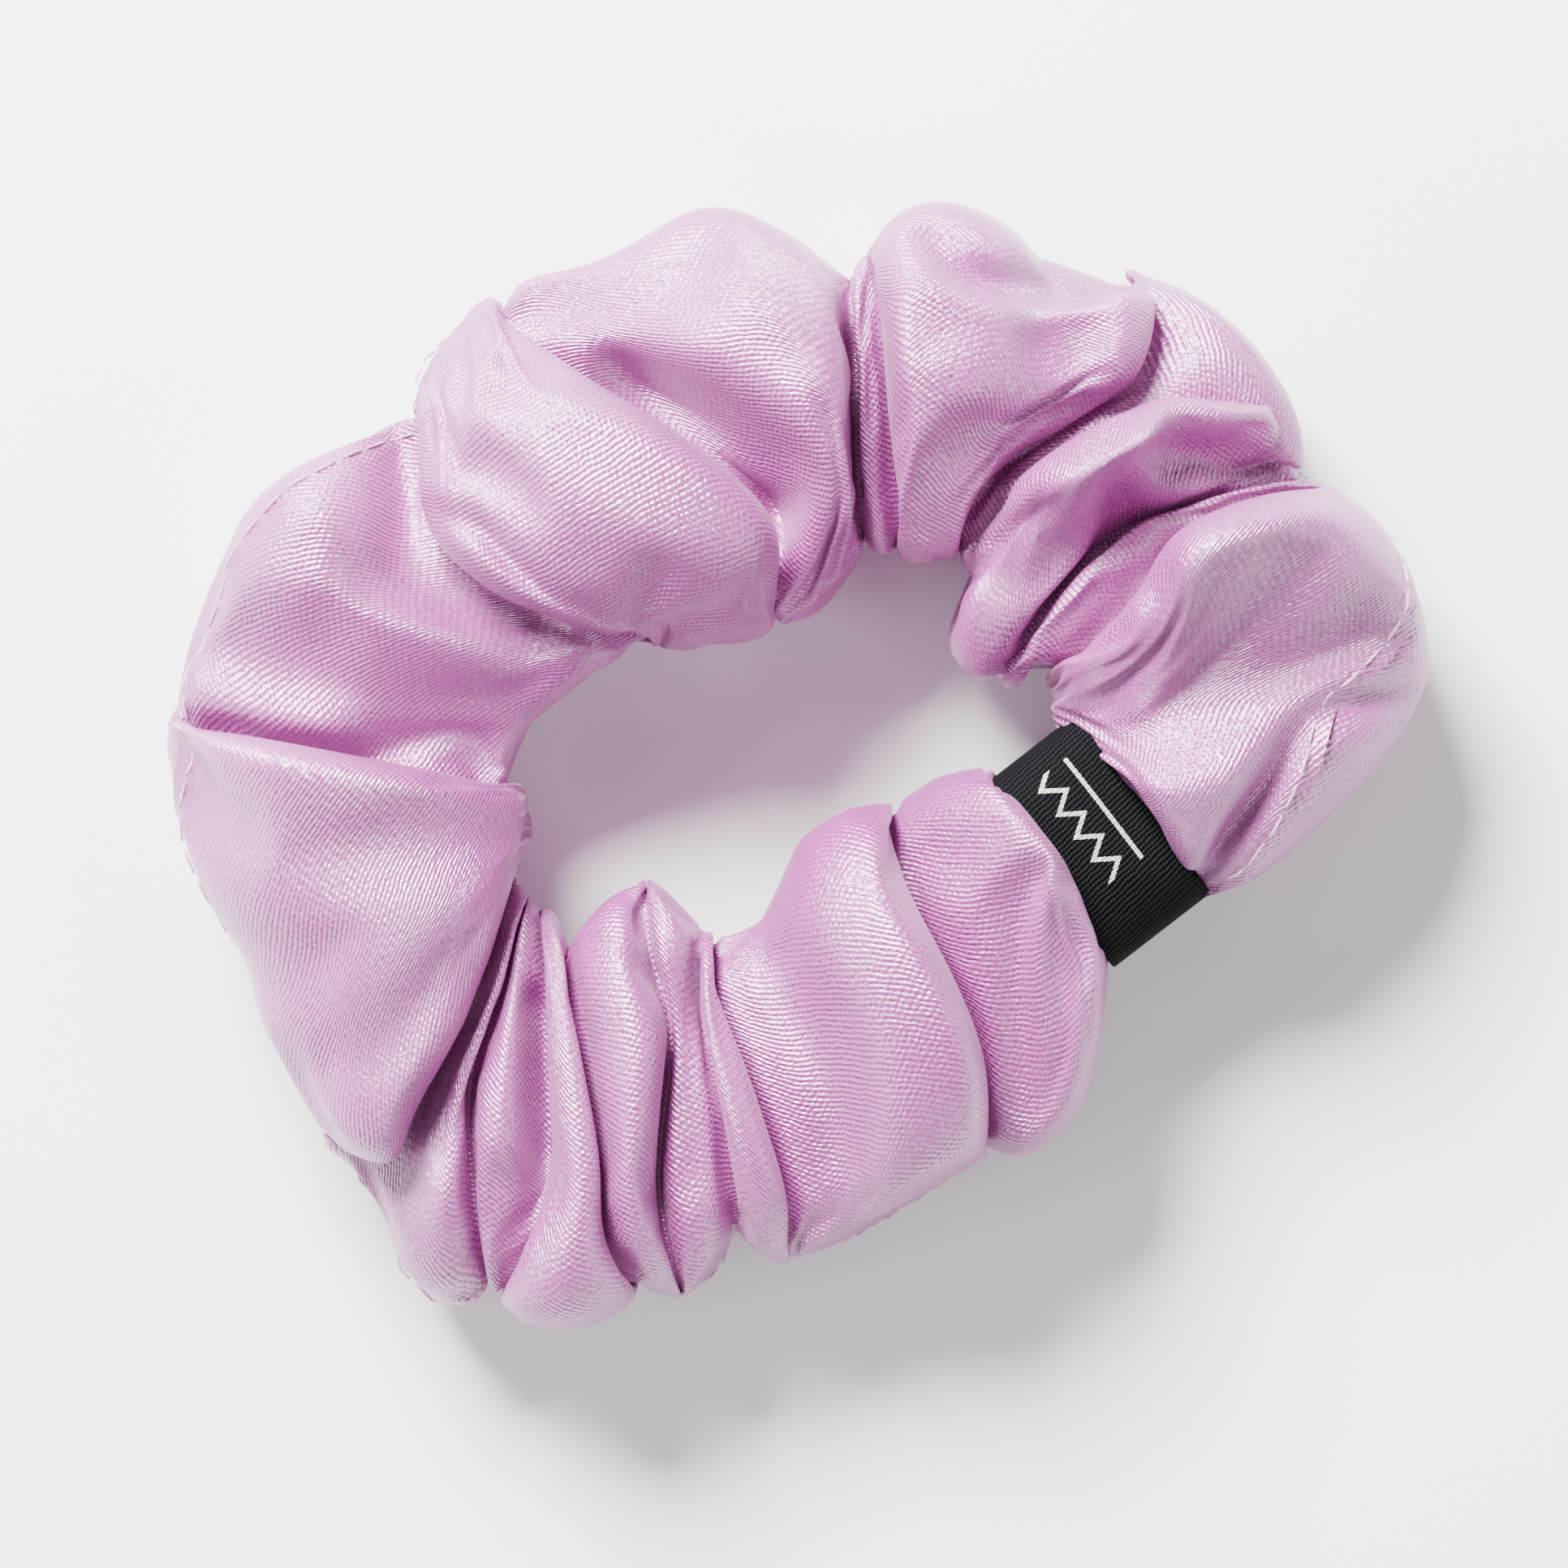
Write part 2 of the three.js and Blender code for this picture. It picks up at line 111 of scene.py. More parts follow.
FOLDS = [
    fold("big right", [(20.3, 5.2)],
         [(36.5, -10.4), (42.5, -5.9), (49.2, 1.0), (52.2, 8.5), (50.6, 15.0), (46.8, 20.9)], (23, 28),
         seam=(8, 52, -25), spare=0.6),
    fold("eye", [(18.6, 8.7)], [], 22),
    fold("right curl", [(14.0, 6.6), (11.3, 10.6), (12.7, 14.2), (15.0, 15.6)], [(40.6, 27.0)], (22, 25.5)),
    fold("back right", [], [(42.5, 28.5), (38.6, 34.4), (34.0, 38.6), (30.4, 41.0)], 22),
    fold("top right", [(10.8, 17.0), (9.0, 16.6)],
         [(23.0, 39.8), (19.2, 40.4), (18.0, 43.6), (14.5, 46.3), (11.0, 46.9), (7.5, 45.6)], (24, 26)),
    fold("lip", [(6.8, 16.6)], [], 22),
    fold("top left", [(4.2, 15.8), (1.4, 11.4)],
         [(-1, 43.9), (-5.5, 46.4), (-9, 46.4), (-13, 43.1), (-17.6, 41.1), (-22.8, 41.0)], (26, 24),
         spare=0.8),
    fold("upper left", [(-3.6, 10.4), (-7, 9.8)], [(-28.6, 35.6), (-30.4, 32.6)], (28, 25),
         seam=(-22, -4, 16), spare=0.6),
    fold("left", [(-14.3, 8.9), (-17.6, 8.3), (-20.2, 6.4), (-22.4, 4.2)],
         [(-37, 27.8), (-42.8, 24.6), (-47.9, 18.6), (-51, 11.8), (-52, 6.5)], (27, 22.5),
         seam=(22, 22, 18)),
    fold("big left", [(-21.7, -3.2), (-22.4, -6.5)],
         [(-51, -1.5), (-50, -8), (-48.6, -11.4), (-44.8, -15.8), (-44.3, -20.9), (-42.4, -26.2)], (28, 24),
         seam=(16, -4, -22), spare=0.5),
    fold("lower left", [(-22.8, -9.6)],
         [(-36.2, -36), (-33.2, -41.8), (-30.2, -46.2), (-27.9, -46.9), (-25.8, -44.8)], 23),
    fold("inner", [], [], 21.5, roll=3.0),
    fold("bottom left", [(-19.9, -12.6)],
         [(-23.6, -45.8), (-20.3, -46.9), (-16.5, -46), (-13.2, -44.2)], (22.5, 25)),
    fold("bottom ridge", [(-18.6, -12.4), (-17.4, -11.6), (-16.2, -9.8), (-14.4, -8.9)],
         [(-11.4, -43.5)], 25.5),
    fold("bottom hollow", [(-10.4, -9.9), (-8.6, -12.0)], [(-7.4, -43.0), (-5.8, -40.9)], 22.5),
    fold("bottom strip", [], [(-3.4, -40.0)], 24, roll=2.0),
    fold("bottom right", [(-3.4, -13.1), (-1.2, -9.6), (1.0, -4.8), (4.6, -2.5)],
         [(3.6, -39.6), (9.5, -36.2), (14.2, -33.4)], (22, 28), spare=0.5),
    fold("label side", [(11.0, -0.6), (13.8, 0.8)], [(18.6, -32.4), (22.8, -29.2), (25.2, -23.5)], (22, 27),
         spare=0.5),
]


# ---- curves ----

def distances(path):
    """How far along a path each of its points is."""
    return np.concatenate([[0], np.cumsum(np.linalg.norm(np.diff(path, axis=0), axis=1))])


def unit(vectors):
    """Vectors of length 1. The last axis holds their parts."""
    return vectors / np.maximum(np.linalg.norm(vectors, axis=-1, keepdims=True), TINY)


SPLINE_STEPS = 24  # between two points, before resampling


def spline(points, samples):
    """A centripetal Catmull-Rom curve through points, resampled evenly along its length."""
    points = np.array(points, float)
    ends = np.array([2 * points[0] - points[1], 2 * points[-1] - points[-2]])
    points = np.vstack([ends[0], points, ends[1]])
    knots = np.concatenate([[0], np.cumsum(np.linalg.norm(np.diff(points, axis=0), axis=1) ** 0.5)])
    dense = []
    for i in range(1, len(points) - 2):
        p0, p1, p2, p3 = points[i - 1:i + 3]
        t0, t1, t2, t3 = knots[i - 1:i + 3]
        t = np.linspace(t1, t2, SPLINE_STEPS)[:, None]
        a1 = (t1 - t) / (t1 - t0) * p0 + (t - t0) / (t1 - t0) * p1
        a2 = (t2 - t) / (t2 - t1) * p1 + (t - t1) / (t2 - t1) * p2
        a3 = (t3 - t) / (t3 - t2) * p2 + (t - t2) / (t3 - t2) * p3
        b1 = (t2 - t) / (t2 - t0) * a1 + (t - t0) / (t2 - t0) * a2
        b2 = (t3 - t) / (t3 - t1) * a2 + (t - t1) / (t3 - t1) * a3
        dense.append((t2 - t) / (t2 - t1) * b1 + (t - t1) / (t2 - t1) * b2)
    dense = np.vstack(dense)
    length = distances(dense)
    at = np.asarray(samples) * length[-1]
    return np.stack([np.interp(at, length, dense[:, k]) for k in range(dense.shape[1])], axis=1)


def smooth(a, b, x):
    """Rises from 0 at a to 1 at b, level at both ends."""
    t = np.clip((x - a) / (b - a), 0, 1)
    return t * t * (3 - 2 * t)


# ---- the cover's shape ----
# A column is the closed section of the tube at one place along it. It has ROWS + 1 points, and starts
# and ends at the long seam.

TOP_FULLNESS = 0.72  # below 1 squares the section's shoulders
BOTTOM_FULLNESS = 0.5
GATHER_DEPTH, FOLD_DEPTH = 0.45, 0.65  # how far the underside reaches down, and how much more on a crest
LOWEST = 0.25  # mm above the table
VALLEY_SHRINK = 0.92  # width of the tube at the bottom of a gather, of that at its edge
VALLEY_RISE = 0.42  # height there, of that of the fold
ROLL_HEIGHT = 0.64  # where the upper fold's edge turns under
DIVE_HEIGHT = 0.46  # where the lower fold goes out of sight
DIVE_SHARE = 0.75  # of a fold's width, over which its lower side rises
DIVE_LENGTH = 14.0  # mm, the most that it takes to rise
LEAST_REACH = 1e-6  # mm, where a fold has no width
FULL_WIDTH = 5.0  # a fold much narrower than this stays low


def angles(seam):
    """The rows' angles round the section, from the outer side up over the top, starting at the seam."""
    return math.radians(seam) + np.linspace(0, 2 * np.pi, ROWS + 1)


def across(angle):
    """A row's place from the hole side, 0, to the outer side, 1."""
    return (1 + np.cos(angle)) / 2


def height(angle, top, level):
    """A row's height, where level is 1 on a fold's crest and less towards its gathers."""
    s = np.sin(angle)
    up = (top - MID_Z) * level * np.abs(s) ** TOP_FULLNESS
    down = MID_Z * (GATHER_DEPTH + FOLD_DEPTH * level) * np.abs(s) ** BOTTOM_FULLNESS
    return np.where(s > 0, MID_Z + up, np.maximum(MID_Z - down, LOWEST))


def edge_lift(distance, over, width, roll):
    """How far a fold has risen, from 0 to 1, at a distance from its upper edge or its lower one."""
    if over:
        reach = np.minimum(roll, width / 2 + LEAST_REACH)
        return np.sqrt(1 - (1 - np.clip(distance / reach, 0, 1)) ** 2)
    reach = np.minimum(DIVE_LENGTH, width * DIVE_SHARE + LEAST_REACH)
    return np.sin(np.clip(distance / reach, 0, 1) * np.pi / 2)


def line_at(points, angle):
    """Each row's place on a line in plan that runs from the hole side to the outer side."""
    return spline(points, across(angle))


FEWEST_STEPS = 6
EXTRA_COLUMNS = 1.25  # a fold has this many times the columns that its width in plan would need


def build_fold(index):
    """The columns of one fold from edge to edge, closer together near its edges."""
    shape = FOLDS[index]
    before, after = GATHERS[index], GATHERS[index + 1]
    upper = (before["over"] >= 0, after["over"] <= 0)
    first = before["line"] if upper[0] else before["under"]
    last = after["line"] if upper[1] else after["under"]
    inner = [first[0]] + shape["inner"] + [last[0]]
    outer = [first[-1]] + shape["outer"] + [last[-1]]
    middle = spline(last, [0.5])[0] - spline(first, [0.5])[0]
    count = max(FEWEST_STEPS, int(np.linalg.norm(middle) * EXTRA_COLUMNS / COLUMN_STEP))
    steps = (1 - np.cos(np.linspace(0, np.pi, count + 1))) / 2
    steps = 0.5 * steps + 0.5 * np.linspace(0, 1, count + 1)
    inner_line, outer_line = spline(inner, steps), spline(outer, steps)
    columns = []
    for t, low, high in zip(steps, inner_line, outer_line):
        seam = np.interp(t, [0, 0.5, 1], shape["seam"])
        angle = angles(seam)
        psi = across(angle)[:, None]
        a, b = line_at(first, angle), line_at(last, angle)
        corners = ((1 - t) * (1 - psi) * np.array(first[0]) + t * (1 - psi) * np.array(last[0])
                   + (1 - t) * psi * np.array(first[-1]) + t * psi * np.array(last[-1]))
        plan = (1 - t) * a + t * b + (1 - psi) * low + psi * high - corners
        width = np.linalg.norm(b - a, axis=1)
        rise = (edge_lift(t * width, upper[0], width, shape["roll"])
                * edge_lift((1 - t) * width, upper[1], width, shape["roll"]))
        edge = np.interp(t, [0, 1], [ROLL_HEIGHT if u else DIVE_HEIGHT for u in upper])
        level = edge + (1 - edge) * rise * (1 - np.exp(-width / FULL_WIDTH))
        top = np.interp(t, [0, 1], shape["top"])
        columns.append(np.column_stack([plan, height(angle, top, level)]))
    return columns


def valley(index, seam):
    """The bottom of a gather: a smaller section, beneath the upper fold."""
    shape = GATHERS[index]
    angle = angles(seam)
    narrowed = 0.5 + (across(angle) - 0.5) * VALLEY_SHRINK
    plan = spline(shape["line"], narrowed)
    if shape["over"]:
        plan = (plan + spline(shape["under"], narrowed)) / 2
    side = np.array(shape["line"][-1]) - np.array(shape["line"][0])
    ahead = np.array([-side[1], side[0]]) / np.linalg.norm(side)
    plan = plan + ahead * shape["tuck"] * shape["over"]
    top = min(FOLDS[index - 1]["top"][1], FOLDS[index]["top"][0])
    return np.column_stack([plan, height(angle, top, VALLEY_RISE)])


ROLL_DROP = 0.6  # how far below an upper fold's edge the cloth turns in, as a share of the way down


def down_to(edge, bottom, rolls):
    """The columns between a fold's edge and the bottom of its gather, nearest the edge first."""
    made = []
    bend = (edge + bottom) / 2
    if rolls:
        bend = edge.copy()
        bend[:, 2] = bottom[:, 2] * ROLL_DROP + edge[:, 2] * (1 - ROLL_DROP)
    for i in range(1, VALLEY_STEPS + 1):
        t = i / (VALLEY_STEPS + 1)
        made.append((1 - t) ** 2 * edge + 2 * t * (1 - t) * bend + t * t * bottom)
    return made


LABEL_CENTRE = np.array([24.2, -6.0])
LABEL_ALONG = np.array([0.79, 0.61]) / math.hypot(0.79, 0.61)
LABEL_ACROSS = np.array([LABEL_ALONG[1], -LABEL_ALONG[0]])
NECK = (7.4, 3.8)  # half width and half height of the tube inside the label
NECK_MOUTH = 4.2  # mm from the label's middle to where the folds start
OUTER_END = (0.6, 1.8, 3.0)  # places of the neck's columns, mm from the label's middle
TUCKED_END = (-4.2, -3.0, -1.6)
TUCKED_SIZE = 0.8  # the tucked-in end is this much smaller


def neck(along, seam, size=1.0):
    """A column of the gathered tube inside the label."""
    angle = angles(seam)
    plan = (LABEL_CENTRE + LABEL_ALONG * along
            + LABEL_ACROSS * NECK[0] * size * np.cos(angle)[:, None])
    return np.column_stack([plan, MID_Z + NECK[1] * size * np.sin(angle)])


def build_columns():
    """Every column of the cover from the label round to the label, and the fold that each is part of."""
    columns, owner = [], []

    def add(new, index):
        columns.extend(new)
        owner.extend([index] * len(new))

    last = len(FOLDS) - 1
    first_seam, last_seam = FOLDS[0]["seam"][0], FOLDS[last]["seam"][2]
    bottom = neck(NECK_MOUTH, first_seam)
    add([neck(along, first_seam) for along in OUTER_END], 0)
    for index in range(len(FOLDS)):
        body = build_fold(index)
        before, after = GATHERS[index], GATHERS[index + 1]
        add([bottom], index)
        add(down_to(body[0], bottom, before["over"] >= 0)[::-1], index)
        add(body, index)
        if index == last:
            bottom = neck(-NECK_MOUTH, last_seam)
        else:
            bottom = valley(index + 1, FOLDS[index]["seam"][2])
        add(down_to(body[-1], bottom, after["over"] <= 0), index)
    add([neck(along, last_seam, TUCKED_SIZE) for along in TUCKED_END], last)
    return np.array(columns), np.array(owner)


def relax(grid, rounds, weight=0.5):
    """Evens a grid of points along its columns and rows. The seam's two edges stay together, and the
    tube's two ends stay where they are."""
    for _ in range(rounds):
        mean = np.zeros_like(grid)
        mean[1:-1, 1:-1] = (grid[:-2, 1:-1] + grid[2:, 1:-1] + grid[1:-1, :-2] + grid[1:-1, 2:]) / 4
        wrap = (grid[:-2, 0] + grid[2:, 0] + grid[1:-1, 1] + grid[1:-1, -2]) / 4
        mean[1:-1, 0] = wrap
        mean[1:-1, -1] = wrap
        grid[1:-1] += (mean[1:-1] - grid[1:-1]) * weight
    return grid


def cloth_map(grid, owner):
    """Cloth coordinates in millimetres at the four corners of every quad, afresh for each fold."""
    corners = np.zeros((len(grid) - 1, ROWS, 4, 2))
    run = np.zeros(grid.shape[:2])
    run[1:] = np.cumsum(np.linalg.norm(np.diff(grid, axis=0), axis=2), axis=0)
    for index in range(len(FOLDS)):
        mine = np.flatnonzero(owner[:-1] == index)
        middle = mine[len(mine) // 2]
        girth = distances(grid[middle])
        for i in mine:
            left, right = run[i] - run[middle], run[i + 1] - run[middle]
            corners[i, :, 0] = np.column_stack([left[:-1], girth[:-1]])
            corners[i, :, 1] = np.column_stack([right[:-1], girth[:-1]])
            corners[i, :, 2] = np.column_stack([right[1:], girth[1:]])
            corners[i, :, 3] = np.column_stack([left[1:], girth[1:]])
    return corners


def add_object(name, data):
    obj = bpy.data.objects.new(name, data)
    bpy.context.scene.collection.objects.link(obj)
    return obj


def add_mesh(name, points, faces):
    """A smooth-shaded mesh object from points in millimetres."""
    mesh = bpy.data.meshes.new(name)
    mesh.from_pydata((np.asarray(points) * MM).tolist(), [], faces)
    mesh.polygons.foreach_set("use_smooth", np.ones(len(mesh.polygons), bool))
    return add_object(name, mesh)


def grid_mesh(name, grid, corners):
    """A mesh object from a grid of points, with cloth coordinates at each quad's corners."""
    count, rows = grid.shape[:2]
    quads = [
        (i * rows + j, (i + 1) * rows + j, (i + 1) * rows + j + 1, i * rows + j + 1)
        for i in range(count - 1) for j in range(rows - 1)
    ]
    obj = add_mesh(name, grid.reshape(-1, 3), quads)
    obj.data.uv_layers.new(name="cloth").data.foreach_set("uv", corners.ravel())
    return obj


# ---- cloth simulation ----

SIM_SCALE = 20.0  # Blender's cloth settles better on a body a couple of metres across
SIM_FRAMES = 22
SPARE_CLOTH = -0.17  # negative shrinking: the cloth is this much longer than the shape it starts from
CLOTH_APART = 0.006  # m at the simulation's scale, the least distance between two layers
MOST_MOVED = 3.5  # mm
CROWDED = (0.3, 0.65)  # mm between columns: held below the first, free above the second
TABLE_HEIGHTS = (0.3, 3.0)  # mm: the cloth lies on the table below the first, and is free above the second
TABLE_HOLD = 0.6  # how firmly the table holds it
EDGE_HOLD = 0.5  # how firmly the columns beside a gather's bottom are held, which itself is held fast
SPARE_ACROSS = (-0.05, 0.4)  # from the hole side: no spare cloth up to the first, all of it from the second


def settle(grid, held, spare):
    """Lets the cloth tube buckle into folds, and returns its new grid. held is how firmly each point
    keeps its place, from 0 to 1, and spare is its share of the spare cloth."""
    count = len(grid)
    ring = [(j, (j + 1) % ROWS) for j in range(ROWS)]
    quads = [(i * ROWS + a, (i + 1) * ROWS + a, (i + 1) * ROWS + b, i * ROWS + b)
             for i in range(count - 1) for a, b in ring]
    start = grid[:, :ROWS].reshape(-1, 3) * MM * SIM_SCALE
    mesh = bpy.data.meshes.new("settling")
    mesh.from_pydata(start.tolist(), [], quads)
    obj = add_object("settling", mesh)
    for name, weights in (("held", held), ("spare", spare)):
        group = obj.vertex_groups.new(name=name)
        levels = np.round(weights[:, :ROWS].ravel(), 2)
        for level in np.unique(levels[levels > 0]):
            group.add(np.flatnonzero(levels == level).tolist(), float(level), "REPLACE")
    cloth = obj.modifiers.new("cloth", "CLOTH")
    settings = cloth.settings
    settings.quality = 5
    settings.mass = 0.3
    settings.tension_stiffness = 25
    settings.compression_stiffness = 25
    settings.shear_stiffness = 8
    settings.bending_stiffness = 0.8
    settings.air_damping = 2
    settings.vertex_group_mass = "held"
    settings.pin_stiffness = 1
    settings.vertex_group_shrink = "spare"
    settings.shrink_min = 0
    settings.shrink_max = SPARE_CLOTH
    settings.effector_weights.gravity = 0
    cloth.collision_settings.use_self_collision = True
    cloth.collision_settings.self_distance_min = CLOTH_APART
    cloth.collision_settings.distance_min = CLOTH_APART
    cloth.point_cache.frame_start = 1
    cloth.point_cache.frame_end = SIM_FRAMES
    for step in range(1, SIM_FRAMES + 1):
        bpy.context.scene.frame_set(step)
    evaluated = obj.evaluated_get(bpy.context.evaluated_depsgraph_get()).data
    end = np.zeros(len(evaluated.vertices) * 3)
    evaluated.vertices.foreach_get("co", end)
    bpy.data.objects.remove(obj)
    bpy.context.scene.frame_set(1)
    moved = (end.reshape(-1, 3) - start) / (MM * SIM_SCALE)
    far = np.linalg.norm(moved, axis=1, keepdims=True)
    moved *= np.minimum(1, MOST_MOVED / np.maximum(far, TINY))
    moved = moved.reshape(count, ROWS, 3)
    return grid + np.concatenate([moved, moved[:, :1]], axis=1)


# ---- strokes: folds within a fold, pressed into its upper side ----
# Each has the fold's name, its route in plan, how far it goes down (or up, if negative) and how wide
# it is, in millimetres.
STROKES = [
    ("top left", [(-13.5, 32.0), (-7.5, 29.3), (-3.4, 25.8), (-1.4, 21.0)], 5.4, 2.6),
    ("top left", [(-9.5, 34.0), (-3.6, 30.6), (0.3, 26.4), (0.9, 20.5)], -1.6, 1.8),
    ("top left", [(-21.5, 38.5), (-15.0, 36.5), (-9.5, 39.5), (-8.0, 45.0)], 1.4, 2.6),
    ("top right", [(10.7, 43.6), (12.3, 41.7), (14.5, 40.5), (16.7, 40.0), (19.6, 40.0)], 2.6, 1.0),
    ("top right", [(9.5, 40.5), (13.0, 38.4), (18.0, 37.8), (27.0, 38.6)], -1.2, 1.5),
    ("top right", [(10.5, 20.0), (16.5, 26.8), (26.0, 31.0)], 1.6, 2.2),
    ("right curl", [(20.0, 24.3), (25.0, 27.6), (30.0, 29.0), (38.0, 29.4)], -2.0, 1.5),
    ("right curl", [(27.4, 28.6), (26.7, 25.6), (29.0, 23.8), (32.0, 22.4)], -2.6, 1.3),
    ("right curl", [(31.0, 26.4), (37.5, 26.0)], 3.0, 2.4),
    ("right curl", [(14.5, 16.0), (17.5, 16.5), (20.5, 19.5)], 2.0, 1.6),
    ("upper left", [(-30.0, 20.4), (-26.3, 19.5), (-23.6, 17.1), (-19.0, 13.8), (-13.6, 11.6)], 2.0, 0.8),
    ("upper left", [(-27.5, 30.0), (-20.0, 24.5), (-8.0, 17.5)], -1.0, 3.5),
    ("left", [(-42.0, 23.0), (-31.0, 17.5), (-22.0, 12.5), (-16.0, 9.6)], -1.6, 2.6),
    ("left", [(-48.0, 11.5), (-36.0, 7.8), (-26.0, 4.8)], 2.4, 3.4),
    ("left", [(-50.0, 6.6), (-43.0, 4.8), (-37.0, 3.6)], -1.8, 1.8),
    ("left", [(-34.0, 2.2), (-24.5, 0.6)], 2.4, 3.0),
    ("left", [(-33.5, 26.5), (-32.0, 20.5), (-28.5, 15.5), (-22.0, 11.5)], 3.6, 2.4),
    ("big left", [(-25.0, -5.5), (-36.0, -7.0), (-48.0, -4.0)], 1.2, 4.0),
    ("big left", [(-27.0, -17.0), (-33.0, -22.0), (-40.0, -25.0)], 1.2, 3.0),
    ("big right", [(26.0, 14.0), (33.0, 19.0), (42.0, 20.0), (48.5, 15.0)], -2.4, 3.0),
    ("big right", [(24.0, 2.5), (31.0, 5.5), (38.0, 7.5), (46.0, 10.0)], 3.6, 4.5),
    ("big right", [(26.0, -1.0), (31.0, -1.5), (35.0, -1.0)], -1.0, 2.0),
    ("big right", [(34.0, -8.9), (38.8, -2.0), (42.8, 3.3), (50.4, 6.0)], 2.8, 1.4),
    ("bottom right", [(-1.5, -16.0), (2.5, -24.0), (4.0, -37.0)], 1.6, 2.4),
    ("bottom hollow", [(-9.0, -17.0), (-8.8, -25.0), (-8.6, -34.0)], 1.5, 1.2),
    ("inner", [(-23.2, -19.0), (-23.8, -26.0), (-23.6, -32.0)], -1.5, 0.9),
    ("inner", [(-21.9, -19.0), (-21.8, -26.0), (-21.4, -33.0)], 3.0, 0.9),
    ("lower left", [(-31.5, -34.5), (-29.2, -31.5), (-28.6, -27.0)], 1.8, 1.0),
    ("lower left", [(-35.0, -38.0), (-28.0, -44.0)], 3.5, 4.5),
    ("label side", [(13.6, -7.0), (17.8, -15.0), (19.0, -27.0)], 1.2, 2.4),
]


STROKE_POINTS = 40
PRESSED_FROM = 4.0  # mm above the elastic, from where a stroke has its whole depth


def press(grid, owner, name, route, depth, width):
    """Presses one stroke into the fold that it names."""
    index = [f["name"] for f in FOLDS].index(name)
    path = spline(route, np.linspace(0, 1, STROKE_POINTS))
    for i in np.flatnonzero(owner == index):
        column = grid[i]
        gap = np.linalg.norm(column[:, None, :2] - path[None], axis=2).min(axis=1)
        upper = smooth(MID_Z, MID_Z + PRESSED_FROM, column[:, 2])
        column[:, 2] -= depth * np.exp(-(gap / width) ** 2) * upper


def held_and_spare(grid, owner):
    """How firmly each point is held while the cloth settles, and how much spare cloth it gets."""
    held = np.zeros(grid.shape[:2])
    for change in np.flatnonzero(np.diff(owner)) + 1:
        held[change] = 1
        held[[change - 1, change + 1]] = EDGE_HOLD
    held[:3] = held[-3:] = 1
    spacing = np.linalg.norm(np.diff(grid, axis=0), axis=2)
    held[1:] = np.maximum(held[1:], 1 - smooth(*CROWDED, spacing))
    on_table = 1 - smooth(*TABLE_HEIGHTS, grid[:, :, 2])
    spare = np.zeros(grid.shape[:2])
    for i, index in enumerate(owner):
        shape = FOLDS[index]
        spare[i] = shape["spare"] * smooth(*SPARE_ACROSS, across(angles(shape["seam"][1])))
    return np.maximum(held, TABLE_HOLD * on_table), spare


# ---- the long seam ----
SEAM_LIFT = 0.22  # the lapped edge stands this far off the cloth beneath, mm
SEAM_LAP = 0.9  # the cloth beneath goes on this far under it
SEAM_HEM = 0.25  # and the lapped edge reaches this far past its row
LAPPED_ROWS = (1.0, 0.9, 0.45)  # shares of the lift, from the lapped edge inwards
PUCKER = 0.14
STITCH_LENGTH = 2.2
STITCH_GAP = 0.7
STITCH_RADIUS = 0.12
STITCH_RISE = 0.06  # how far the thread's middle lies above the cloth
STITCH_START = 0.4
STITCH_POINTS = 7
STITCH_ROW = 1  # rows in from the lapped edge
THREAD_SIDES = 6
THREAD_TAPER = (0.12, 0.88)  # shares of a half turn of a sine, so that a stitch narrows at its ends


def outward(grid):
    """Unit normals of a grid of points."""
    along = np.gradient(grid, axis=0)
    around = np.gradient(grid, axis=1)
    return unit(np.cross(along, around))


def lap_seam(grid):
    """Lays the seam's first edge over its last one, puckered by the stitches."""
    normal = outward(grid)
    run = distances(grid[:, STITCH_ROW])
    wave = np.sin(2 * np.pi * run / (STITCH_LENGTH + STITCH_GAP))[:, None]
    edge = unit(grid[:, 1] - grid[:, 0])
    grid = grid.copy()
    for row, share in enumerate(LAPPED_ROWS):
        grid[:, row] += normal[:, row] * (SEAM_LIFT + PUCKER * wave) * share
    grid[:, 0] -= edge * SEAM_HEM
    grid[:, -1] += edge * SEAM_LAP
    return grid


def stitches(grid):
    """A running stitch along the seam, as a list of short paths in millimetres."""
    path = grid[:, STITCH_ROW] + outward(grid)[:, STITCH_ROW] * STITCH_RISE
    run = distances(path)
    made = []
    start = STITCH_START
    while start + STITCH_LENGTH < run[-1]:
        at = start + STITCH_LENGTH * np.linspace(0, 1, STITCH_POINTS)
        made.append(np.column_stack([np.interp(at, run, path[:, k]) for k in range(3)]))
        start += STITCH_LENGTH + STITCH_GAP
    return made


def thread_mesh(name, paths, radius):
    """Each path as a thread that narrows where it goes into the cloth."""
    sides = THREAD_SIDES
    points, quads = [], []
    for path in paths:
        base = len(points)
        ahead = unit(np.gradient(path, axis=0))
        side = unit(np.cross(ahead, (0.0, 0.0, 1.0)))
        up = np.cross(side, ahead)
        taper = np.sin(np.linspace(*THREAD_TAPER, len(path)) * np.pi) ** 0.5
        for i, centre in enumerate(path):
            for k in range(sides):
                turn = 2 * np.pi * k / sides
                points.append(centre + radius * taper[i] * (side[i] * np.cos(turn) + up[i] * np.sin(turn)))
        for i in range(len(path) - 1):
            for k in range(sides):
                a, b = base + i * sides + k, base + i * sides + (k + 1) % sides
                quads.append((a, b, b + sides, a + sides))
        quads.append(tuple(base + k for k in reversed(range(sides))))
        quads.append(tuple(base + (len(path) - 1) * sides + k for k in range(sides)))
    return add_mesh(name, points, quads)


